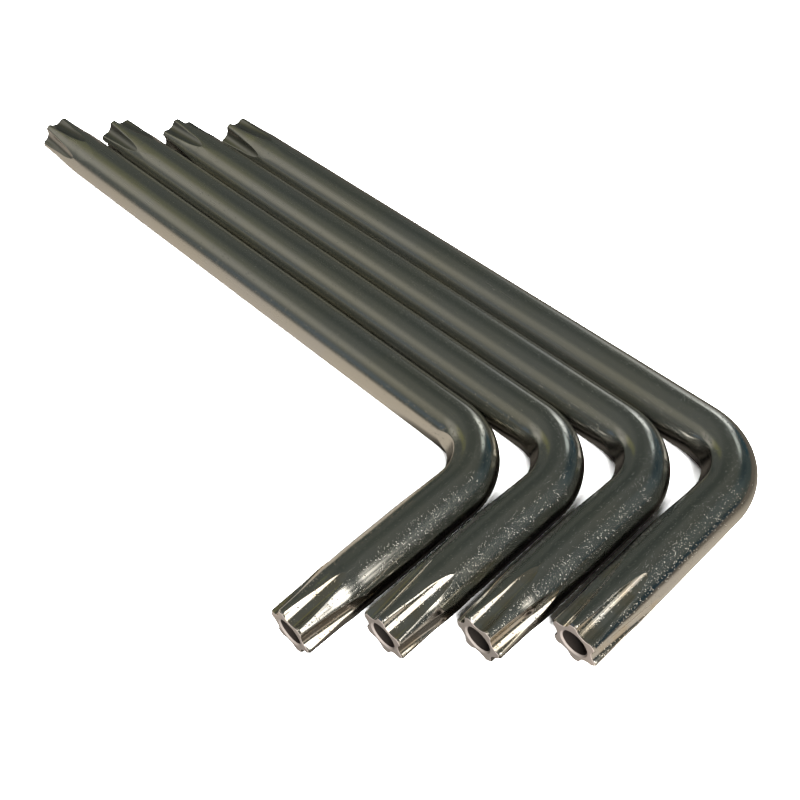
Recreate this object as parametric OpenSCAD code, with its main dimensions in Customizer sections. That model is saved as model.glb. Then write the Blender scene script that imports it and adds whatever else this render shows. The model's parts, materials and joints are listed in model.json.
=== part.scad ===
// Set of four L-shaped star keys with pin holes, lying flat and nested side by side.
// Each key is one bent steel bar with a six-lobe star formed on both ends.
// +Z is up, the long arms run along X and the short arms point towards -Y.
// The origin is under the middle of the set, on the surface that it lies on.

/* [Arms] */
// Long arm, from its end face to the crossing of the two arm axes
long_arm = 105; // [80:1:160]
// Short arm, from its end face to the crossing of the two arm axes
short_arm = 35; // [28:0.5:60]
// Radius of the bend, along the axis of the bar
bend_r = 8; // [6:0.5:12]

/* [Star] */
// Diameter across the tops of opposite lobes
star_outer_d = 6.75; // [6.4:0.05:7.2]
// Diameter across the floors of opposite flutes
star_inner_d = 4.85; // [4.5:0.05:5.2]
// Radius of a flute's section
flute_r = 1.45; // [1.3:0.05:1.6]
// Width of the land left on top of a lobe
lobe_land = 0.48; // [0.3:0.02:0.6]
// Depth of the bevels that take off the edges of a lobe, at 45 degrees
lobe_bevel = 0.5; // [0.4:0.02:0.7]
// Length over which the flutes engage a screw
flute_len = 5; // [4:0.25:8]
// Length past that, over which the floor of a flute rises to the surface of the bar
runout_len = 5; // [3:0.25:8]
// How far the bar stands proud of the lobes all round
shoulder = 0.125; // [0.05:0.025:0.4]
// Length of the cone between the lobes and the bar
shoulder_len = 0.8; // [0.4:0.1:2]
// Chamfer round the end face
tip_chamfer = 0.25; // [0.1:0.05:0.5]

/* [Pin hole] */
// Diameter of the hole that clears the pin of a tamper-proof screw
pin_hole_d = 3.5; // [3:0.05:4]
// Depth of the hole's straight wall below the end face
pin_hole_depth = 6; // [4:0.25:9]
// Chamfer round the mouth of the hole
mouth_chamfer = 0.2; // [0.05:0.05:0.4]
// Angle of the drill's point
drill_angle = 118; // [90:1:140]

/* [Set] */
// Gap between neighbouring long arms
long_gap = 0.1; // [0.05:0.05:3]
// Gap between neighbouring short arms
short_gap = 0.9; // [0.1:0.1:6]

/* [Hidden] */
NODES = ["star_key_1", "star_key_2", "star_key_3", "star_key_4"];

// Turn of the star on the short and on the long arm of each key, in degrees
short_star_turns = [10, 26, 58, 21];
long_star_turns = [30, 7, 52, 24];

lobe_count = 6;
lobe_pitch = 360 / lobe_count;
curve_fn = 96;
// How far a cut reaches past what it cuts
overrun = 0.5;

star_outer_r = star_outer_d / 2;
star_inner_r = star_inner_d / 2;
bar_r = star_outer_r + shoulder;
bar_d = 2 * bar_r;
pin_hole_r = pin_hole_d / 2;
pin_point_len = pin_hole_r / tan(drill_angle / 2);

// The floor of a flute is one long arc, deepest at the middle of the engaged length
flute_centre_r = star_inner_r + flute_r;
flute_depth = bar_r - star_inner_r;
sweep_run = flute_len / 2 + runout_len;
sweep_rise_angle = 2 * atan(flute_depth / sweep_run);
sweep_r = sweep_run / sin(sweep_rise_angle) - flute_r;
// The arc goes on past the surface of the bar, by a share of its own angle
sweep_past_share = 1.5;
sweep_angle = sweep_rise_angle * sweep_past_share;

// Neighbouring keys lie one step apart each way
step_x = bar_d + short_gap;
step_y = bar_d + long_gap;
last_key = len(NODES) - 1;
set_length = long_arm + last_key * step_x + bar_r;
set_width = short_arm + last_key * step_y + bar_r;
corner_x = long_arm - set_length / 2;
corner_y = short_arm - set_width / 2;

// The cuts below are made on a bar whose end face is at z = 0 and which lies towards +Z

// Six flutes that run out to the surface of the bar
module flutes() {
    for (i = [0 : lobe_count - 1])
        rotate((i + 1 / 2) * lobe_pitch)
            translate([flute_centre_r + sweep_r, 0, flute_len / 2])
                rotate([90, 0, 180])
                    rotate(-sweep_angle)
                        rotate_extrude(angle = 2 * sweep_angle, $fn = curve_fn)
                            translate([sweep_r, 0])
                                circle(r = flute_r, $fn = curve_fn);
}

// Bevels along both edges of each lobe, with the first lobe on +X
module lobe_bevels() {
    land = lobe_land / 2;
    for (i = [0 : lobe_count - 1])
        for (side = [0, 1])
            rotate(i * lobe_pitch)
                mirror([0, side, 0])
                    translate([0, 0, -overrun])
                        linear_extrude(height = overrun + flute_len + shoulder_len / 2)
                            polygon([
                                [star_outer_r + overrun, land - overrun],
                                [star_outer_r + overrun, land + lobe_bevel],
                                [star_outer_r - lobe_bevel, land + lobe_bevel]
                            ]);
}

// Turned end: chamfer round the end face, diameter over the lobes and cone past the surface of the bar
module turned_end() {
    outside_r = bar_r + shoulder;
    rotate_extrude($fn = curve_fn)
        polygon([
            [star_outer_r - tip_chamfer - overrun, -overrun],
            [star_outer_r, tip_chamfer],
            [star_outer_r, flute_len],
            [outside_r, flute_len + 2 * shoulder_len],
            [outside_r, -overrun]
        ]);
}

// Drilled hole with a chamfered mouth and a pointed bottom
module pin_hole() {
    rotate_extrude($fn = curve_fn)
        polygon([
            [0, -overrun],
            [pin_hole_r + mouth_chamfer + overrun, -overrun],
            [pin_hole_r, mouth_chamfer],
            [pin_hole_r, pin_hole_depth],
            [0, pin_hole_depth + pin_point_len]
        ]);
}

// Places its children on both ends of a key's bar, turned as the stars there are
module at_tips(index) {
    translate([-long_arm, 0, 0])
        rotate([0, 90, 0])
            rotate(long_star_turns[index])
                children();
    translate([0, -short_arm, 0])
        rotate([-90, 0, 0])
            rotate(short_star_turns[index])
                children();
}

// Bent bar, with the crossing of its arm axes at the origin
module bent_bar() {
    // Both arms start from the bend and are placed from its centre, so that the three lengths meet exactly
    translate([-bend_r, -bend_r, 0]) {
        rotate_extrude(angle = 90, $fn = curve_fn)
            translate([bend_r, 0])
                circle(r = bar_r, $fn = curve_fn);
        translate([0, bend_r, 0])
            rotate([0, -90, 0])
                cylinder(r = bar_r, h = long_arm - bend_r, $fn = curve_fn);
        translate([bend_r, 0, 0])
            rotate([90, 0, 0])
                cylinder(r = bar_r, h = short_arm - bend_r, $fn = curve_fn);
    }
}

// One key of the set, counted from the inner one
module star_key(index) {
    color("dimgray")
        translate([corner_x + index * step_x, corner_y + index * step_y, bar_r])
            difference() {
                difference() {
                    difference() {
                        bent_bar();
                        at_tips(index) {
                            turned_end();
                            pin_hole();
                        }
                    }
                    at_tips(index) lobe_bevels();
                }
                at_tips(index) flutes();
            }
}

for (index = [0 : last_key])
    star_key(index);
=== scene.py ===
"""Looks of a nested set of four L-shaped star keys.

Each key is one bent bar of plated steel with a six-lobe star and a pin hole formed on both ends.
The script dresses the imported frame: it sweeps one fine mesh per key, gives it its finishes,
and sets up a pale floor, soft studio light and a camera.
"""

import json
import logging
import math
from dataclasses import dataclass
from enum import Enum, IntEnum

import bpy
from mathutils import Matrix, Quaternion, Vector


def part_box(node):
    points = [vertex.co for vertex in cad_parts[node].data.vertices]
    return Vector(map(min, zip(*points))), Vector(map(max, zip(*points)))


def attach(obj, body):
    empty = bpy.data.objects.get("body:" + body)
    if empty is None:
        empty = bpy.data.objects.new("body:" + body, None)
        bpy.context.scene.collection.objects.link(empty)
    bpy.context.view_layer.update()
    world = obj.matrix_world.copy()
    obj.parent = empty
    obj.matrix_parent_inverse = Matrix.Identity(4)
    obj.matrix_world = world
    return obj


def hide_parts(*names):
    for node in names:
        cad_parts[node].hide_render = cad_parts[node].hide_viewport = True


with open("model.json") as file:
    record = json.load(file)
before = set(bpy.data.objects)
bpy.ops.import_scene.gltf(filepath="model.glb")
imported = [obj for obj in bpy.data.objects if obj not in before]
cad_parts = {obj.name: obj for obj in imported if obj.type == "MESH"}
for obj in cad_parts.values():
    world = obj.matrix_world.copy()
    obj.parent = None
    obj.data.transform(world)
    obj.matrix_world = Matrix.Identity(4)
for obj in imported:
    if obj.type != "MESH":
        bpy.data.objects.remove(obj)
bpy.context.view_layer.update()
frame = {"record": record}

LOG = logging.getLogger("star_keys")
MM = 0.001
BAR_COORDS = "bar_coords"
FLUTE_MASK = "flute_mask"

Colour = tuple[float, float, float]
Polar = tuple[float, float]
Socket = bpy.types.NodeSocket


def mix(low: float, high: float, share: float) -> float:
    """The value that lies a share of the way from low to high."""
    return low + (high - low) * share


def ease(share: float) -> float:
    """A share held between 0 and 1 and eased at both ends."""
    held = min(1.0, max(0.0, share))
    return held * held * (3.0 - 2.0 * held)


def stations(start: float, end: float, step: float) -> list[float]:
    """Evenly spaced distances from start to end.

    Args:
        start: First distance.
        end: Last distance.
        step: Longest spacing allowed.

    Returns:
        The distances, both ends among them.
    """
    count = max(1, math.ceil((end - start) / step))
    return [mix(start, end, i / count) for i in range(count + 1)]


class Zone(IntEnum):
    """Finish of a face, in the order of a key's material slots."""

    PLATED = 0
    END_FACE = 1
    PIN_HOLE = 2


class Kind(Enum):
    """Type of a node group's socket."""

    FLOAT = "NodeSocketFloat"
    VECTOR = "NodeSocketVector"
    COLOUR = "NodeSocketColor"


@dataclass(frozen=True)
class StarTip:
    """Star and pin hole on one end of a bar, measured from the end face.

    Attributes:
        flute_turn: Angle of one flute round the bar, from the outside of the bend towards +Z.
        flute_end: Distance at which the flutes have run out to the surface of the bar.
        bar_r: Radius of the bar.
        hole_r: Radius of the pin hole.
        hole_depth: Depth of the pin hole's straight wall.
        lobes: Number of lobes.
        outer_r: Radius over the lobes.
        inner_r: Radius to the floors of the flutes at the end face.
        flute_r: Radius of a flute's section.
        floor_curve: Power of the curve along which the floors rise.
        lobe_round: Radius that rounds the lobes.
        runout_round: Radius that rounds the edges of the run-outs.
        least_flute: Depth that a flute keeps to its very end.
        cone_start: Distance at which the cone to the bar starts.
        cone_len: Length of that cone.
        chamfer: Chamfer round the end face.
        edge_break: Width of the broken edge between chamfer and end face.
        mouth_chamfer: Chamfer round the mouth of the pin hole.
        drill_angle: Angle of the drill's point.
        flute_steps: Faces across half a flute.
        round_steps: Faces across a rounded edge.
        land_steps: Faces across the land on a lobe.
    """

    flute_turn: float
    flute_end: float
    bar_r: float
    hole_r: float
    hole_depth: float
    lobes: int = 6
    outer_r: float = 3.375 * MM
    inner_r: float = 2.425 * MM
    flute_r: float = 1.45 * MM
    floor_curve: float = 1.2
    lobe_round: float = 0.38 * MM
    runout_round: float = 0.14 * MM
    least_flute: float = 0.0005 * MM
    cone_start: float = 4.6 * MM
    cone_len: float = 3.0 * MM
    chamfer: float = 0.25 * MM
    edge_break: float = 0.05 * MM
    mouth_chamfer: float = 0.2 * MM
    drill_angle: float = math.radians(118)
    flute_steps: int = 7
    round_steps: int = 4
    land_steps: int = 3

    @property
    def pitch(self) -> float:
        """Angle between neighbouring flutes."""
        return 2 * math.pi / self.lobes

    @property
    def columns(self) -> int:
        """Number of points round one section."""
        return self.lobes * (2 * self.flute_steps + 2 * self.round_steps + self.land_steps)

    def turned_radius(self, reach: float) -> float:
        """Radius of the turned end, before its flutes are formed.

        Args:
            reach: Distance from the end face.

        Returns:
            The radius.
        """
        if reach < self.chamfer:
            return self.outer_r - self.chamfer + reach
        return mix(self.outer_r, self.bar_r, ease((reach - self.cone_start) / self.cone_len))

    def floor_radius(self, reach: float) -> float:
        """Distance of a flute's floor from the axis, which rises along one long curve."""
        return mix(self.inner_r, self.bar_r, (reach / self.flute_end) ** self.floor_curve)

    def edge_round(self, reach: float) -> float:
        """Radius that rounds a flute's edges: full lobes on the star, crisper edges on the run-out."""
        share = ease((reach - self.cone_start) / (self.flute_end - self.cone_start))
        return mix(self.lobe_round, self.runout_round, share)

    def half_lobe(self, reach: float) -> list[tuple[float, float, float]]:
        """Section from the middle of a flute to the first edge of the land on a lobe.

        Args:
            reach: Distance from the end face.

        Returns:
            Radius, angle from the flute's middle and share of flute of each point.
        """
        outer = self.turned_radius(reach)
        centre = min(self.floor_radius(reach), outer - self.least_flute) + self.flute_r
        fillet = self.edge_round(reach)
        hub = outer - fillet
        cosine = (hub * hub + centre * centre - (self.flute_r + fillet) ** 2) / (2 * centre * hub)
        turn = math.acos(min(1.0, cosine))
        hub_x, hub_y = hub * math.cos(turn), hub * math.sin(turn)
        sweep = math.atan2(hub_y, centre - hub_x)
        points = []
        for i in range(self.flute_steps):
            angle = sweep * i / self.flute_steps
            x, y = centre - self.flute_r * math.cos(angle), self.flute_r * math.sin(angle)
            points.append((x, y, 1.0))
        for i in range(self.round_steps + 1):
            share = i / self.round_steps
            angle = mix(-sweep, turn, share)
            x, y = hub_x + fillet * math.cos(angle), hub_y + fillet * math.sin(angle)
            points.append((x, y, 1.0 - share))
        return [(math.hypot(x, y), math.atan2(y, x), share) for x, y, share in points]

    def section(self, reach: float) -> tuple[list[Polar], list[float]]:
        """Whole section of the star.

        Args:
            reach: Distance from the end face.

        Returns:
            Radius and angle of each point, and its share of flute.
        """
        half = self.half_lobe(reach)
        radius, edge, _ = half[-1]
        inner_steps = [i / self.land_steps for i in range(1, self.land_steps)]
        land = [(radius, mix(edge, self.pitch - edge, step), 0.0) for step in inner_steps]
        back = [(r, self.pitch - a, share) for r, a, share in reversed(half[1:])]
        lobe = half + land + back
        starts = [self.flute_turn + i * self.pitch for i in range(self.lobes)]
        polar = [(r, start + a) for start in starts for r, a, _ in lobe]
        return polar, [share for _, _, share in lobe] * self.lobes

    def plain_angles(self) -> list[float]:
        """Evenly spaced angles for the sections of the plain bar, starting at the same flute."""
        step = 2 * math.pi / self.columns
        return [self.flute_turn + i * step for i in range(self.columns)]


@dataclass(frozen=True)
class Ring:
    """One closed row of points round the bar.

    Attributes:
        along: Distance along the bar's axis from the end face of the short arm.
        polar: Radius and angle of each point.
        flute: Share of flute of each point.
        zone: Finish of the faces between this ring and the next.
    """

    along: float
    polar: list[Polar]
    flute: list[float]
    zone: Zone


@dataclass
class StarKey:
    """One key: a bar with a long and a short arm, swept as one closed mesh.

    Attributes:
        node: CAD node that the mesh replaces.
        body: CAD body that it rides on.
        short_turn: Angle of a flute on the short arm, in degrees.
        long_turn: Angle of a flute on the long arm, in degrees.
        short_flutes: Length of the flutes on the short arm.
        long_flutes: Length of the flutes on the long arm.
        bend_r: Radius of the bend along the bar's axis.
        star_step: Spacing of the rings along a star.
        relax_len: Length of plain bar over which a star's points spread out evenly.
        relax_step: Spacing of the rings there and where the pressed facets fade.
        arm_step: Spacing of the rings along the plain arms.
        bend_step: Turn between the rings of the bend.
        press_depth: Depth of the facets pressed inside the bend.
        press_tilt: Angle of each facet from the inside of the bend, up and down.
        short_lead: How far the facets reach along the short arm.
        short_ramp: Length over which they fade there.
        long_lead: How far the facets reach along the long arm.
        long_ramp: Length over which they fade there.
        face_rings: Faces across an end face.
        wall_rings: Faces along the wall of a pin hole.
        sharp_angle: Angle between faces from which an edge is sharp.
    """

    node: str
    body: str
    short_turn: float
    long_turn: float
    short_flutes: float
    long_flutes: float
    bend_r: float = 8 * MM
    star_step: float = 0.25 * MM
    relax_len: float = 6 * MM
    relax_step: float = 1 * MM
    arm_step: float = 4 * MM
    bend_step: float = math.radians(2.25)
    press_depth: float = 0.36 * MM
    press_tilt: float = math.radians(20)
    short_lead: float = 9.5 * MM
    short_ramp: float = 9.5 * MM
    long_lead: float = 0.4 * MM
    long_ramp: float = 6 * MM
    face_rings: int = 4
    wall_rings: int = 4
    sharp_angle: float = math.radians(32)

    def __post_init__(self) -> None:
        """Takes the places and sizes that the frame gives."""
        low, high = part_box(self.node)
        self.bar_r = (high.z - low.z) / 2
        self.corner = Vector((high.x - self.bar_r, high.y - self.bar_r, low.z + self.bar_r))
        self.long_arm = self.corner.x - low.x
        self.short_arm = self.corner.y - low.y
        self.bend_start = self.short_arm - self.bend_r
        self.bend_end = self.bend_start + self.bend_r * math.pi / 2
        self.length = self.bend_end + self.long_arm - self.bend_r
        self.short_tip = self.star_tip("short", self.short_turn, self.short_flutes)
        self.long_tip = self.star_tip("long", self.long_turn, self.long_flutes)

    def star_tip(self, arm: str, turn: float, flutes: float) -> StarTip:
        """The star on one arm, with the pin hole that the record gives.

        Args:
            arm: Name of the arm in the record's mounts.
            turn: Angle of one flute, in degrees.
            flutes: Length of the flutes.

        Returns:
            The tip.
        """
        name = f"{self.body}_{arm}_pin_hole"
        dims = next(mount["dims"] for mount in frame["record"]["mounts"] if mount["name"] == name)
        depth = dims["length_mm"] * MM + StarTip.mouth_chamfer
        return StarTip(math.radians(turn), flutes, self.bar_r, dims["r_mm"] * MM, depth)

    def axis_at(self, along: float) -> tuple[Vector, Vector]:
        """Point of the bar's axis, and the direction there that faces out of the bend.

        Args:
            along: Distance from the end face of the short arm.

        Returns:
            The point and the direction.
        """
        if along <= self.bend_start:
            return self.corner + Vector((0, along - self.short_arm, 0)), Vector((1, 0, 0))
        if along >= self.bend_end:
            back = along - self.bend_end + self.bend_r
            return self.corner + Vector((-back, 0, 0)), Vector((0, 1, 0))
        turn = (along - self.bend_start) / self.bend_r
        outwards = Vector((math.cos(turn), math.sin(turn), 0))
        centre = self.corner + Vector((-self.bend_r, -self.bend_r, 0))
        return centre + outwards * self.bend_r, outwards

    def pressed_radius(self, along: float, angle: float) -> float:
        """Radius of the plain bar, with the two facets that bending pressed inside the bend.

        Args:
            along: Distance from the end face of the short arm.
            angle: Angle round the bar, from the outside of the bend towards +Z.

        Returns:
            The radius.
        """
        from_short = ease((along - self.bend_start + self.short_lead) / self.short_ramp)
        from_long = ease((self.bend_end + self.long_lead - along) / self.long_ramp)
        off_inside = abs(math.remainder(angle - math.pi, 2 * math.pi))
        facing = math.cos(off_inside - self.press_tilt)
        if facing <= 0:
            return self.bar_r
        plane = self.bar_r - self.press_depth * from_short * from_long
        return min(self.bar_r, plane / facing)

    def tip_rings(self, tip: StarTip) -> list[Ring]:
        """Rings of one tip, from the point of its pin hole to the end of its flutes.

        Args:
            tip: The star and its hole.

        Returns:
            The rings, with distances from the end face.
        """
        rim, _ = tip.section(tip.edge_break)
        none = [0.0] * tip.columns
        mouth_r = tip.hole_r + tip.mouth_chamfer
        point = tip.hole_depth + tip.hole_r / math.tan(tip.drill_angle / 2)
        rings = []

        def round_ring(reach: float, radius: float, zone: Zone) -> None:
            """Adds a round ring whose points lie on the star's own rays."""
            rings.append(Ring(reach, [(radius, angle) for _, angle in rim], none, zone))

        round_ring(point, tip.edge_break, Zone.PIN_HOLE)
        wall = stations(tip.mouth_chamfer, tip.hole_depth, tip.hole_depth / self.wall_rings)
        for reach in reversed(wall):
            round_ring(reach, tip.hole_r, Zone.PIN_HOLE)
        rings[-1] = Ring(rings[-1].along, rings[-1].polar, none, Zone.END_FACE)
        for i in range(self.face_rings + 1):
            share = i / self.face_rings
            polar = [(mix(mouth_r, radius - tip.edge_break, share), angle) for radius, angle in rim]
            rings.append(Ring(0.0, polar, none, Zone.END_FACE))
        reaches = [tip.edge_break, *stations(tip.chamfer, tip.flute_end, self.star_step)]
        for reach in reaches:
            polar, shares = tip.section(reach)
            rings.append(Ring(reach, polar, shares, Zone.PLATED))
        return rings

    def relax_rings(self, tip: StarTip) -> list[Ring]:
        """Rings of the plain bar next to a star, over which the points spread out evenly.

        Args:
            tip: The star.

        Returns:
            The rings, with distances from the end face.
        """
        crowded, _ = tip.section(tip.flute_end)
        even = tip.plain_angles()
        rings = []
        for reach in stations(0, self.relax_len, self.relax_step)[1:]:
            share = ease(reach / self.relax_len)
            angles = [mix(angle, goal, share) for (_, angle), goal in zip(crowded, even)]
            polar = [(self.bar_r, angle) for angle in angles]
            rings.append(Ring(tip.flute_end + reach, polar, [0.0] * tip.columns, Zone.PLATED))
        return rings

    def bar_rings(self) -> list[Ring]:
        """Rings of the bar between the stars, which turn from one star's angles to the other's.

        Returns:
            The rings, with distances from the end face of the short arm.
        """
        start = self.short_flutes + self.relax_len
        end = self.length - self.long_flutes - self.relax_len
        lead_in, lead_out = self.bend_start - self.short_lead, self.bend_end + self.long_lead
        places = stations(start, lead_in, self.arm_step)[1:-1]
        places += stations(lead_in, self.bend_start, self.relax_step)[:-1]
        places += stations(self.bend_start, self.bend_end, self.bend_step * self.bend_r)
        places += stations(self.bend_end, lead_out, self.relax_step)[1:]
        places += stations(lead_out, end, self.arm_step)[1:-1]
        first, last = self.short_tip.plain_angles(), self.long_tip.plain_angles()
        rings = []
        for along in places:
            share = ease((along - start) / (end - start))
            angles = [mix(a, b, share) for a, b in zip(first, last)]
            polar = [(self.pressed_radius(along, angle), angle) for angle in angles]
            rings.append(Ring(along, polar, [0.0] * len(polar), Zone.PLATED))
        return rings

    def rings(self) -> list[Ring]:
        """All rings of the key, from the hole of the short arm to the hole of the long arm.

        Returns:
            The rings, with distances from the end face of the short arm.
        """
        near = self.tip_rings(self.short_tip) + self.relax_rings(self.short_tip)
        far = self.tip_rings(self.long_tip) + self.relax_rings(self.long_tip)
        turned = []
        for i in reversed(range(len(far))):
            zone = far[i - 1].zone if i else Zone.PIN_HOLE
            turned.append(Ring(self.length - far[i].along, far[i].polar, far[i].flute, zone))
        return near + self.bar_rings() + turned

    def build(self) -> bpy.types.Object:
        """Sweeps the rings into one closed mesh.

        Returns:
            The key's object, with its coordinates along and round the bar and its flutes marked.
        """
        rings = self.rings()
        columns = self.short_tip.columns
        points, spots, flutes = [], [], []
        for ring in rings:
            centre, outwards = self.axis_at(ring.along)
            for radius, angle in ring.polar:
                towards = math.cos(angle) * outwards + math.sin(angle) * Vector((0, 0, 1))
                points.append(centre + radius * towards)
                spots.append((ring.along, angle * self.bar_r))
            flutes += ring.flute
        faces, zones = [], []
        for i, ring in enumerate(rings[:-1]):
            for j in range(columns):
                k = (j + 1) % columns
                low, high = i * columns, (i + 1) * columns
                faces.append((low + j, high + j, high + k, low + k))
                zones.append(ring.zone)
        last = (len(rings) - 1) * columns
        faces += [tuple(range(columns)), tuple(last + j for j in reversed(range(columns)))]
        zones += [Zone.PIN_HOLE, Zone.PIN_HOLE]
        mesh = bpy.data.meshes.new(f"{self.node}_mesh")
        mesh.from_pydata(points, [], faces)
        mesh.polygons.foreach_set("material_index", [int(zone) for zone in zones])
        mesh.polygons.foreach_set("use_smooth", [True] * len(faces))
        self.mark(mesh, spots, flutes, columns)
        mesh.update()
        mesh.set_sharp_from_angle(angle=self.sharp_angle)
        piece = bpy.data.objects.new(f"{self.node}_dressed", mesh)
        bpy.context.scene.collection.objects.link(piece)
        return piece

    def mark(
        self, mesh: bpy.types.Mesh, spots: list[tuple[float, float]], flutes: list[float], columns: int
    ) -> None:
        """Stores the coordinates along and round the bar, and the shares of flute.

        Args:
            mesh: The key's mesh.
            spots: Place of each point along and round the bar.
            flutes: Share of flute of each point.
            columns: Points in a ring.
        """
        layer = mesh.uv_layers.new(name=BAR_COORDS)
        whole_turn = 2 * math.pi * self.bar_r
        for face in mesh.polygons:
            wraps = any(corner % columns == columns - 1 for corner in face.vertices)
            for i, corner in zip(face.loop_indices, face.vertices):
                along, around = spots[corner]
                if wraps and corner % columns == 0:
                    around += whole_turn
                layer.data[i].uv = (along, around)
        mask = mesh.attributes.new(FLUTE_MASK, "FLOAT", "POINT")
        mask.data.foreach_set("value", flutes)

    def dress(self, piece: bpy.types.Object, finishes: list[bpy.types.Material]) -> None:
        """Gives the key its finishes and ties it to the frame.

        Args:
            piece: The key's object.
            finishes: Materials in the order of the zones.
        """
        for finish in finishes:
            piece.data.materials.append(finish)
        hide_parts(self.node)
        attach(piece, self.body)


class Graph:
    """Shorthand for adding and linking the nodes of one tree."""

    def __init__(self, tree: bpy.types.NodeTree) -> None:
        """Starts on an emptied tree."""
        self.tree = tree
        self.tree.nodes.clear()

    def add(self, kind: str, **settings: object) -> bpy.types.Node:
        """Adds a node.

        Args:
            kind: Node type, without its ShaderNode prefix.
            settings: Properties of the node.

        Returns:
            The node.
        """
        prefix = "" if kind.startswith("NodeGroup") else "ShaderNode"
        node = self.tree.nodes.new(prefix + kind)
        for name, value in settings.items():
            setattr(node, name, value)
        return node

    def feed(self, socket: Socket, value: object) -> None:
        """Links a socket, or sets the constant on it.

        Args:
            socket: The input.
            value: What feeds it.
        """
        if isinstance(value, Socket):
            self.tree.links.new(value, socket)
        elif isinstance(value, tuple) and len(value) == 3 and socket.type == "RGBA":
            socket.default_value = (*value, 1.0)
        else:
            socket.default_value = value

    def math(self, operation: str, *values: object) -> Socket:
        """Adds a math node.

        Args:
            operation: Name of the operation.
            values: What feeds its inputs, in their order.

        Returns:
            The node's result.
        """
        node = self.add("Math", operation=operation)
        for socket, value in zip(node.inputs, values):
            self.feed(socket, value)
        return node.outputs[0]

    def ramp(
        self, value: Socket, low: object, high: object, to_low: object = 0.0, to_high: object = 1.0
    ) -> Socket:
        """Maps a value smoothly from one range to another.

        Args:
            value: The value.
            low: Where its range starts.
            high: Where its range ends.
            to_low: Result at the start.
            to_high: Result at the end.

        Returns:
            The result.
        """
        node = self.add("MapRange", interpolation_type="SMOOTHSTEP")
        names = ("Value", "From Min", "From Max", "To Min", "To Max")
        for name, feed in zip(names, (value, low, high, to_low, to_high)):
            self.feed(node.inputs[name], feed)
        return node.outputs["Result"]

    def blend(self, factor: object, first: object, second: object) -> Socket:
        """Mixes two colours.

        Args:
            factor: Share of the second colour.
            first: The first colour.
            second: The second colour.

        Returns:
            The mixed colour.
        """
        node = self.add("Mix", data_type="RGBA")
        self.feed(node.inputs["Factor"], factor)
        self.feed(node.inputs["A"], first)
        self.feed(node.inputs["B"], second)
        return next(socket for socket in node.outputs if socket.type == "RGBA")

    def noise(self, vector: Socket, scale: object, detail: float, grain: float = 0.5) -> Socket:
        """Adds a noise texture.

        Args:
            vector: Place in the texture.
            scale: Scale of its largest clouds.
            detail: How many finer layers it has.
            grain: How strong those are.

        Returns:
            The texture's value.
        """
        node = self.add("TexNoise")
        names = ("Vector", "Scale", "Detail", "Roughness")
        for name, feed in zip(names, (vector, scale, detail, grain)):
            self.feed(node.inputs[name], feed)
        return node.outputs["Fac"]


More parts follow.
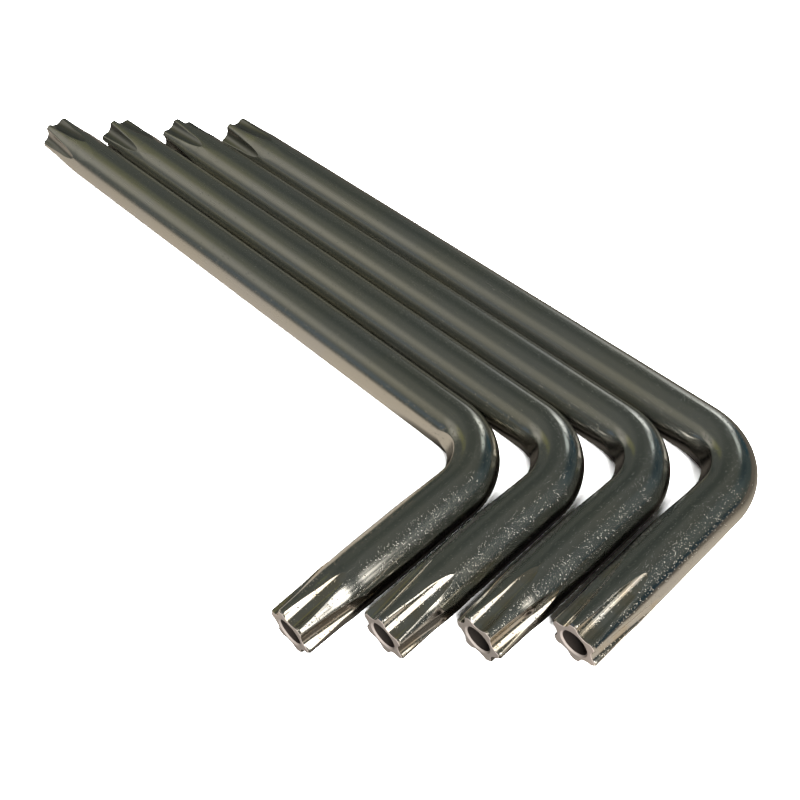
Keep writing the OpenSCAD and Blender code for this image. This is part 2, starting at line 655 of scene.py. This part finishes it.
class Effects:
    """Shader node groups for the marks that several finishes share.

    Attributes:
        cloud_scale: Scale of the clouds in which pits crowd, as a share of the pits' own scale.
        cloud_detail: Finer layers of those clouds.
        cloud_range: Values of the clouds between which the crowding changes.
        crowding: Factors on the pits' density at both ends of that range.
        pit_width: Width of the smallest pits, in cells.
        pit_spread: What the widest pits have more.
        pit_power: Power that makes wide pits rare.
        line_detail: Finer layers of the drawn lines.
        line_grain: How strong those are.
        drift_detail: Finer layers of the drift between two tints.
        drift_range: Values of its clouds between which the tint changes.
    """

    cloud_scale: float = 0.12
    cloud_detail: float = 2.0
    cloud_range: tuple[float, float] = (0.38, 0.62)
    crowding: tuple[float, float] = (0.25, 1.5)
    pit_width: float = 0.2
    pit_spread: float = 0.34
    pit_power: float = 2.0
    line_detail: float = 3.0
    line_grain: float = 0.6
    drift_detail: float = 3.0
    drift_range: tuple[float, float] = (0.35, 0.65)

    def __init__(self) -> None:
        """Builds each group once."""
        self.pits = self.fine_pits()
        self.lines = self.drawn_lines()
        self.tint = self.tint_drift()

    @staticmethod
    def group(
        name: str, inputs: dict[str, Kind], outputs: dict[str, Kind]
    ) -> tuple[Graph, bpy.types.Node, bpy.types.Node]:
        """Starts a group.

        Args:
            name: Name of the group.
            inputs: Types of the inputs by name.
            outputs: Types of the outputs by name.

        Returns:
            The graph, its input node and its output node.
        """
        tree = bpy.data.node_groups.new(name, "ShaderNodeTree")
        for way, sockets in (("INPUT", inputs), ("OUTPUT", outputs)):
            for label, kind in sockets.items():
                tree.interface.new_socket(name=label, in_out=way, socket_type=kind.value)
        graph = Graph(tree)
        return graph, graph.add("NodeGroupInput"), graph.add("NodeGroupOutput")

    def fine_pits(self) -> bpy.types.NodeTree:
        """Scattered round pits left in the steel under its plating.

        Returns:
            The group.
        """
        inputs = {"Vector": Kind.VECTOR, "Scale": Kind.FLOAT, "Density": Kind.FLOAT}
        graph, source, result = self.group("fine_pits", inputs, {"Height": Kind.FLOAT})
        place, scale = source.outputs["Vector"], source.outputs["Scale"]
        cells = graph.add("TexVoronoi", feature="F1")
        graph.feed(cells.inputs["Vector"], place)
        graph.feed(cells.inputs["Scale"], scale)
        chance = graph.add("SeparateColor")
        graph.feed(chance.inputs[0], cells.outputs["Color"])
        cloud_scale = graph.math("MULTIPLY", scale, self.cloud_scale)
        cloud = graph.noise(place, cloud_scale, self.cloud_detail)
        crowding = graph.ramp(cloud, *self.cloud_range, *self.crowding)
        crowd = graph.math("MULTIPLY", source.outputs["Density"], crowding)
        chosen = graph.math("LESS_THAN", chance.outputs[0], crowd)
        rare = graph.math("POWER", chance.outputs[1], self.pit_power)
        width = graph.math("MULTIPLY_ADD", rare, self.pit_spread, self.pit_width)
        bowl = graph.ramp(cells.outputs["Distance"], 0.0, width, 1.0, 0.0)
        pit = graph.math("MULTIPLY", graph.math("MULTIPLY", bowl, width), chosen)
        graph.feed(result.inputs["Height"], graph.math("SUBTRACT", 1.0, pit))
        return graph.tree

    def drawn_lines(self) -> bpy.types.NodeTree:
        """Fine lines along the bar from drawing and polishing, and the distance along it.

        Returns:
            The group.
        """
        inputs = {"Along": Kind.FLOAT, "Across": Kind.FLOAT}
        outputs = {"Line": Kind.FLOAT, "Reach": Kind.FLOAT}
        graph, source, result = self.group("drawn_lines", inputs, outputs)
        coords = graph.add("UVMap", uv_map=BAR_COORDS)
        split = graph.add("SeparateXYZ")
        graph.feed(split.inputs[0], coords.outputs[0])
        joined = graph.add("CombineXYZ")
        for i, name in enumerate(inputs):
            scaled = graph.math("MULTIPLY", split.outputs[i], source.outputs[name])
            graph.feed(joined.inputs[i], scaled)
        line = graph.noise(joined.outputs[0], 1.0, self.line_detail, self.line_grain)
        graph.feed(result.inputs["Line"], line)
        graph.feed(result.inputs["Reach"], split.outputs[0])
        return graph.tree

    def tint_drift(self) -> bpy.types.NodeTree:
        """Slow drift of a finish between two tints.

        Returns:
            The group.
        """
        inputs = {"Vector": Kind.VECTOR, "Scale": Kind.FLOAT, "First": Kind.COLOUR, "Second": Kind.COLOUR}
        graph, source, result = self.group("tint_drift", inputs, {"Color": Kind.COLOUR})
        cloud = graph.noise(source.outputs["Vector"], source.outputs["Scale"], self.drift_detail)
        share = graph.ramp(cloud, *self.drift_range)
        tint = graph.blend(share, source.outputs["First"], source.outputs["Second"])
        graph.feed(result.inputs["Color"], tint)
        return graph.tree


@dataclass(frozen=True)
class Finish:
    """Metal finish of one zone of a key, with its marks; in the pin hole the tints are painted shade.

    Attributes:
        name: Name of the material.
        first: One tint of the metal.
        second: The tint that it drifts to.
        polished: Tint of the flutes on the short arm.
        stained: The tint that it drifts to.
        far_flute_tint: Tint of the flutes on the long arm.
        metallic: Share of bare metal, the rest being matt.
        near_rough: Roughness at the short arm.
        far_rough: Roughness at the far end of the long arm.
        line_rough: Roughness that the drawn lines add.
        pit_scale: Pits per metre.
        near_pits: Share of the places that hold a pit, at the short arm.
        far_pits: The same share at the far end of the long arm.
        pit_depth: Depth of the pits' relief.
        line_depth: Depth of the drawn lines' relief.
        flute_lines: Depth that the lines have more in the flutes.
        tip_pits: What the lands next to the short arm's star add to the share of pits.
        tip_rough: What those lands add to the roughness.
        tip_start: Distance along the bar up to which those lands reach in full.
        tip_end: Distance at which they have faded out.
        land_mask: Shares of flute between which a land ends.
        flute_rough: Roughness of the flutes on the short arm.
        worn_rough: Roughness of the flutes on the long arm.
        line_along: Drawn lines' scale along the bar.
        line_across: Drawn lines' scale round the bar.
        tint_scale: Scale of the drift between the two tints of the metal.
        stain_scale: Scale of the drift between the two tints of the flutes.
        near_end: Distance along the bar up to which the short arm's finish reaches in full.
        far_start: Distance from which the long arm's finish does.
    """

    name: str
    first: Colour
    second: Colour
    polished: Colour
    stained: Colour
    far_flute_tint: Colour
    metallic: float
    near_rough: float
    far_rough: float
    line_rough: float
    pit_scale: float
    near_pits: float
    far_pits: float
    pit_depth: float
    line_depth: float
    flute_lines: float = 0.0
    tip_pits: float = 0.0
    tip_rough: float = 0.0
    tip_start: float = 15 * MM
    tip_end: float = 27 * MM
    land_mask: tuple[float, float] = (0.0, 0.5)
    flute_rough: float = 0.13
    worn_rough: float = 0.28
    line_along: float = 60.0
    line_across: float = 4200.0
    tint_scale: float = 90.0
    stain_scale: float = 330.0
    near_end: float = 30 * MM
    far_start: float = 65 * MM

    def material(self, effects: Effects) -> bpy.types.Material:
        """Builds the material.

        Args:
            effects: The shared node groups.

        Returns:
            The material.
        """
        material = bpy.data.materials.new(self.name)
        material.use_nodes = True
        graph = Graph(material.node_tree)
        place = graph.add("TexCoord").outputs["Object"]
        lines = self.effect(graph, effects.lines, Along=self.line_along, Across=self.line_across)
        line, reach = lines.outputs["Line"], lines.outputs["Reach"]
        flute = graph.add("Attribute", attribute_name=FLUTE_MASK).outputs["Fac"]
        fades = (reach, self.near_end, self.far_start)
        land = graph.math(
            "MULTIPLY",
            graph.ramp(reach, self.tip_start, self.tip_end, 1.0, 0.0),
            graph.ramp(flute, *self.land_mask, 1.0, 0.0),
        )
        spread = graph.ramp(*fades, self.near_pits, self.far_pits)
        density = graph.math("MULTIPLY_ADD", land, self.tip_pits, spread)
        pits = self.effect(graph, effects.pits, Vector=place, Scale=self.pit_scale, Density=density)
        tints = {"Vector": place, "Scale": self.tint_scale, "First": self.first, "Second": self.second}
        tint = self.effect(graph, effects.tint, **tints)
        tints |= {"Scale": self.stain_scale, "First": self.polished, "Second": self.stained}
        stain = self.effect(graph, effects.tint, **tints)
        # The flutes' tint fades along the bar to a darker tint on the long arm.
        flute_tint = graph.blend(graph.ramp(*fades), stain.outputs["Color"], self.far_flute_tint)
        smooth = graph.ramp(*fades, self.near_rough, self.far_rough)
        bare = graph.math("MULTIPLY_ADD", land, self.tip_rough, smooth)
        rough = graph.add("Mix", data_type="FLOAT")
        graph.feed(rough.inputs["Factor"], flute)
        graph.feed(rough.inputs["A"], graph.math("MULTIPLY_ADD", line, self.line_rough, bare))
        graph.feed(rough.inputs["B"], graph.ramp(*fades, self.flute_rough, self.worn_rough))
        pit_relief = graph.math("MULTIPLY", pits.outputs["Height"], self.pit_depth)
        line_relief = graph.math("MULTIPLY_ADD", flute, self.flute_lines, self.line_depth)
        bump = graph.add("Bump")
        bump.inputs["Distance"].default_value = 1.0
        graph.feed(bump.inputs["Height"], graph.math("MULTIPLY_ADD", line, line_relief, pit_relief))
        shader = graph.add("BsdfPrincipled")
        shader.inputs["Metallic"].default_value = self.metallic
        graph.feed(shader.inputs["Base Color"], graph.blend(flute, tint.outputs["Color"], flute_tint))
        graph.feed(shader.inputs["Roughness"], rough.outputs[0])
        graph.feed(shader.inputs["Normal"], bump.outputs["Normal"])
        output = graph.add("OutputMaterial")
        graph.feed(output.inputs["Surface"], shader.outputs[0])
        return material

    @staticmethod
    def effect(graph: Graph, tree: bpy.types.NodeTree, **values: object) -> bpy.types.Node:
        """Places a shared group with its own values.

        Args:
            graph: The material's nodes.
            tree: The group.
            values: What feeds the group's inputs, by name.

        Returns:
            The node.
        """
        node = graph.add("Group", node_tree=tree)
        for name, value in values.items():
            graph.feed(node.inputs[name], value)
        return node


PLATED = Finish(
    name="plated_steel",
    first=(0.60, 0.60, 0.58),
    second=(0.62, 0.61, 0.56),
    polished=(0.64, 0.64, 0.62),
    stained=(0.63, 0.57, 0.47),
    far_flute_tint=(0.40, 0.40, 0.38),
    metallic=1.0,
    near_rough=0.11,
    far_rough=0.22,
    line_rough=0.08,
    pit_scale=4400.0,
    near_pits=0.8,
    far_pits=0.15,
    pit_depth=0.06 * MM,
    line_depth=0.0015 * MM,
    flute_lines=0.005 * MM,
    tip_pits=1.6,
    tip_rough=-0.02,
)
END_FACE = Finish(
    name="bare_end_face",
    first=(0.44, 0.38, 0.345),
    second=(0.40, 0.355, 0.32),
    polished=(0.44, 0.38, 0.345),
    stained=(0.44, 0.38, 0.345),
    far_flute_tint=(0.44, 0.38, 0.345),
    metallic=0.8,
    near_rough=0.42,
    far_rough=0.42,
    line_rough=0.12,
    pit_scale=5200.0,
    near_pits=0.4,
    far_pits=0.4,
    pit_depth=0.01 * MM,
    line_depth=0.0,
)
# The pin hole's near-black tints are painted shade in the recess, far darker than drilled steel.
PIN_HOLE = Finish(
    name="pin_hole_painted_shade",
    first=(0.07, 0.055, 0.047),
    second=(0.05, 0.043, 0.038),
    polished=(0.07, 0.055, 0.047),
    stained=(0.07, 0.055, 0.047),
    far_flute_tint=(0.07, 0.055, 0.047),
    metallic=0.9,
    near_rough=0.4,
    far_rough=0.4,
    line_rough=0.15,
    pit_scale=4000.0,
    near_pits=0.5,
    far_pits=0.5,
    pit_depth=0.015 * MM,
    line_depth=0.0,
)


@dataclass(frozen=True)
class Softbox:
    """Large soft light on the floor and the matt faces, which the metal does not mirror.

    Attributes:
        name: Name of the light.
        towards: Direction from the keys.
        distance: How far off it hangs.
        sides: Its lengths across and along the keys' short arms.
        power: Its power in watts.
    """

    name: str
    towards: tuple[float, float, float]
    distance: float
    sides: tuple[float, float]
    power: float

    def hang(self) -> bpy.types.Object:
        """Adds the light, facing the keys.

        Returns:
            The light's object.
        """
        light = bpy.data.lights.new(self.name, "AREA")
        light.shape = "RECTANGLE"
        light.size, light.size_y = self.sides
        light.energy = self.power
        lamp = bpy.data.objects.new(self.name, light)
        away = Vector(self.towards).normalized()
        lamp.location = away * self.distance
        lamp.rotation_euler = away.to_track_quat("Z", "Y").to_euler()
        lamp.visible_glossy = False
        lamp.visible_camera = False
        bpy.context.scene.collection.objects.link(lamp)
        return lamp


@dataclass(frozen=True)
class Glow:
    """Soft patch of light on the walls of the room, which the metal mirrors.

    Attributes:
        azimuth: Its direction from +Y towards +X, in degrees.
        elevation: Its angle above the floor, in degrees.
        core: Half the angle over which it is even, in degrees.
        edge: Half the angle at which it has faded out, in degrees.
        colour: Light that it adds, or takes away where it is negative.
    """

    azimuth: float
    elevation: float
    core: float
    edge: float
    colour: Colour

    def add(self, graph: Graph, view: Socket, shade: Socket) -> Socket:
        """Adds the patch to the room.

        Args:
            graph: The room's nodes.
            view: Direction that is looked along.
            shade: Colour of the room so far.

        Returns:
            The colour of the room with the patch.
        """
        azimuth, elevation = math.radians(self.azimuth), math.radians(self.elevation)
        flat = math.cos(elevation)
        facing = graph.add("VectorMath", operation="DOT_PRODUCT")
        graph.feed(facing.inputs[0], view)
        middle = (math.sin(azimuth) * flat, math.cos(azimuth) * flat, math.sin(elevation))
        facing.inputs[1].default_value = middle
        fade, even = math.cos(math.radians(self.edge)), math.cos(math.radians(self.core))
        mask = graph.ramp(facing.outputs["Value"], fade, even)
        scaled = graph.add("VectorMath", operation="MULTIPLY_ADD")
        graph.feed(scaled.inputs[0], mask)
        scaled.inputs[1].default_value = self.colour
        graph.feed(scaled.inputs[2], shade)
        return scaled.outputs["Vector"]


SOFTBOXES = (
    Softbox("key_softbox", (0.66, -0.3, 0.69), 1.0, (0.48, 0.48), 85.0),
    Softbox("fill_softbox", (0.0, -0.1, 0.99), 1.0, (0.2, 0.8), 16.0),
)
# Bright patches behind the long arms, dim and tinted ones all round, and lamps that the flutes mirror
GLOWS = (
    Glow(-18, 5, 4, 14, (0.413, 0.418, 0.407)),
    Glow(-12, 20, 3, 9, (1.188, 1.219, 1.161)),
    Glow(-4, 33, 2, 8, (0.620, 0.668, 0.640)),
    Glow(20, 20, 5, 30, (-0.031, -0.018, -0.004)),
    Glow(2, 8, 4, 13, (-0.04, -0.024, -0.004)),
    Glow(20, 30, 3, 12, (-0.025, -0.026, -0.022)),
    Glow(60, 7, 4, 13, (-0.060, -0.046, -0.024)),
    Glow(48, 36, 8, 26, (0.021, 0.028, 0.032)),
    Glow(-47, 45, 4, 20, (-0.033, -0.031, -0.028)),
    Glow(-64, 5, 3, 12, (-0.031, -0.029, -0.027)),
    Glow(-80, 38, 2, 9, (0.062, 0.059, 0.005)),
    Glow(-95, 38, 3, 11, (0.103, 0.093, 0.018)),
    Glow(-116, 35, 3, 20, (0.217, 0.202, 0.174)),
    Glow(-145, 45, 5, 22, (0.124, 0.113, 0.087)),
    Glow(-112, 20, 4, 16, (0.186, 0.177, 0.151)),
    Glow(-144, 16, 4, 13, (0.021, 0.042, 0.078)),
    Glow(-100, 78, 12, 50, (0.031, 0.030, 0.027)),
    Glow(81, 26, 4, 11, (3.2, 3.0, 2.7)),
    Glow(78, 41, 4, 11, (3.2, 3.0, 2.7)),
    Glow(78, 54, 4, 11, (3.2, 3.0, 2.7)),
    Glow(98, 38, 8, 14, (2.2, 2.1, 1.9)),
    Glow(176, 28, 8, 16, (1.240, 1.130, 1.005)),
)


@dataclass(frozen=True)
class FloorPatch:
    """An oval of light or shade on the floor, as the metal mirrors it.

    Attributes:
        centre: Its middle along X and Y.
        reach: Its half lengths along X and Y.
        fade: Shares of that reach between which it fades.
        inside: Share of light inside it.
        outside: Share of light outside it.
    """

    centre: tuple[float, float]
    reach: tuple[float, float]
    fade: tuple[float, float]
    inside: float
    outside: float = 1.0

    def share(self, graph: Graph) -> Socket:
        """Share of light at a place on the floor.

        Args:
            graph: The floor's nodes.

        Returns:
            The share.
        """
        spot = graph.add("VectorMath", operation="SUBTRACT")
        graph.feed(spot.inputs[0], graph.add("NewGeometry").outputs["Position"])
        spot.inputs[1].default_value = (*self.centre, 0.0)
        scaled = graph.add("VectorMath", operation="DIVIDE")
        graph.feed(scaled.inputs[0], spot.outputs[0])
        scaled.inputs[1].default_value = (*self.reach, 1.0)
        length = graph.add("VectorMath", operation="LENGTH")
        graph.feed(length.inputs[0], scaled.outputs[0])
        return graph.ramp(length.outputs["Value"], *self.fade, self.inside, self.outside)


# The pool of light round the keys, the shade between their bends and short arms, and the shade
# under the long arms of the inner and the outer key, next to the bend
FLOOR_PATCHES = (
    FloorPatch((0.0, -45 * MM), (130 * MM, 80 * MM), (0.9, 1.18), 1.0, 0.25),
    FloorPatch((46.5 * MM, -8 * MM), (18.5 * MM, 34 * MM), (0.85, 1.05), 0.2),
    FloorPatch((29.0 * MM, 2.5 * MM), (8 * MM, 5 * MM), (0.5, 1.2), 0.3),
    FloorPatch((53.0 * MM, 23.5 * MM), (9 * MM, 6 * MM), (0.5, 1.2), 0.3),
)


@dataclass(frozen=True)
class Studio:
    """Pale floor, dim room and camera.

    Attributes:
        target: Point that the camera looks at.
        azimuth: Angle of the camera round the keys, from -Y towards +X, in degrees.
        elevation: Its angle above the floor, in degrees.
        roll: Its turn about its own axis, in degrees.
        distance: Its distance from the target.
        focal_px: Focal length in pixels of the picture.
        picture_px: Width of the picture.
        sensor_mm: Width of the camera's sensor.
        floor_half: Half the length of the floor's sides.
        floor_rough: Roughness of the floor.
        floor_seen: Colour of the floor to the eye.
        floor_mirrored: Colour of the floor in the metal, which is dimmer.
        room: Colour of the dim room.
    """

    target: tuple[float, float, float] = (22.772 * MM, 3.166 * MM, 3.6 * MM)
    azimuth: float = 48.923
    elevation: float = 48.387
    roll: float = -3.999
    distance: float = 141.971 * MM
    focal_px: float = 1055.625
    picture_px: float = 800.0
    sensor_mm: float = 36.0
    floor_half: float = 1.5
    floor_rough: float = 0.9
    floor_seen: Colour = (0.9, 0.9, 0.89)
    floor_mirrored: Colour = (0.083, 0.073, 0.061)
    room: Colour = (0.088, 0.095, 0.084)

    def floor(self) -> bpy.types.Object:
        """Lays the floor that the keys lie on.

        Returns:
            The floor's object.
        """
        half = self.floor_half
        mesh = bpy.data.meshes.new("floor_mesh")
        corners = [(-half, -half, 0), (half, -half, 0), (half, half, 0), (-half, half, 0)]
        mesh.from_pydata(corners, [], [(0, 1, 2, 3)])
        sheet = bpy.data.objects.new("floor", mesh)
        bpy.context.scene.collection.objects.link(sheet)
        material = bpy.data.materials.new("pale_floor")
        material.use_nodes = True
        graph = Graph(material.node_tree)
        shader = graph.add("BsdfPrincipled")
        eye = graph.add("LightPath").outputs["Is Camera Ray"]
        graph.feed(shader.inputs["Base Color"], graph.blend(eye, self.pool(graph), self.floor_seen))
        shader.inputs["Roughness"].default_value = self.floor_rough
        shader.inputs["Specular IOR Level"].default_value = 0.0
        output = graph.add("OutputMaterial")
        graph.feed(output.inputs["Surface"], shader.outputs[0])
        mesh.materials.append(material)
        return sheet

    def pool(self, graph: Graph) -> Socket:
        """Colour of the floor in the metal: a pool of light, with shade between the keys.

        Args:
            graph: The floor's nodes.

        Returns:
            The colour.
        """
        lit = FLOOR_PATCHES[0].share(graph)
        for patch in FLOOR_PATCHES[1:]:
            lit = graph.math("MULTIPLY", lit, patch.share(graph))
        return graph.blend(lit, (0.0, 0.0, 0.0), self.floor_mirrored)

    def walls(self) -> None:
        """Sets the dim room with its soft patches of light, plain white to the eye."""
        world = bpy.data.worlds.new("dim_room")
        world.use_nodes = True
        graph = Graph(world.node_tree)
        view = graph.add("TexCoord").outputs["Generated"]
        shade = graph.add("CombineXYZ")
        for socket, value in zip(shade.inputs, self.room):
            socket.default_value = value
        shade = shade.outputs[0]
        for glow in GLOWS:
            shade = glow.add(graph, view, shade)
        eye = graph.add("LightPath").outputs["Is Camera Ray"]
        background = graph.add("Background")
        graph.feed(background.inputs["Color"], graph.blend(eye, shade, (1.0, 1.0, 1.0)))
        output = graph.add("OutputWorld")
        graph.feed(output.inputs["Surface"], background.outputs[0])
        bpy.context.scene.world = world

    def camera(self) -> bpy.types.Object:
        """Places the camera and makes it the scene's camera.

        Returns:
            The camera's object.
        """
        azimuth, elevation = math.radians(self.azimuth), math.radians(self.elevation)
        flat = math.cos(elevation)
        back = Vector((math.sin(azimuth) * flat, -math.cos(azimuth) * flat, math.sin(elevation)))
        lens = bpy.data.cameras.new("camera")
        lens.sensor_fit = "HORIZONTAL"
        lens.sensor_width = self.sensor_mm
        lens.lens = self.focal_px / self.picture_px * self.sensor_mm
        lens.clip_start = 1 * MM
        viewer = bpy.data.objects.new("camera", lens)
        viewer.location = Vector(self.target) + back * self.distance
        turn = Quaternion((0, 0, 1), math.radians(self.roll))
        viewer.rotation_euler = ((-back).to_track_quat("-Z", "Y") @ turn).to_euler()
        bpy.context.scene.collection.objects.link(viewer)
        bpy.context.scene.camera = viewer
        return viewer

    def set_up(self) -> None:
        """Builds the floor, the room, the lights and the camera."""
        self.floor()
        self.walls()
        for softbox in SOFTBOXES:
            softbox.hang()
        self.camera()
        bpy.context.scene.view_settings.view_transform = "Standard"


KEYS = (
    StarKey("star_key_1", "key_1", 20, 30, 8.7 * MM, 10 * MM),
    StarKey("star_key_2", "key_2", 4, 7, 10 * MM, 10 * MM),
    StarKey("star_key_3", "key_3", 32, 52, 10.2 * MM, 10 * MM),
    StarKey("star_key_4", "key_4", 9, 24, 11.1 * MM, 10 * MM),
)


def main() -> None:
    """Builds the studio and the keys in order."""
    logging.basicConfig(level=logging.INFO, format="%(name)s: %(message)s")
    Studio().set_up()
    effects = Effects()
    finishes = [finish.material(effects) for finish in (PLATED, END_FACE, PIN_HOLE)]
    for key in KEYS:
        piece = key.build()
        key.dress(piece, finishes)
        LOG.info("%s: %d faces, rides on %s", piece.name, len(piece.data.polygons), key.body)


if __name__ == "__main__":
    main()
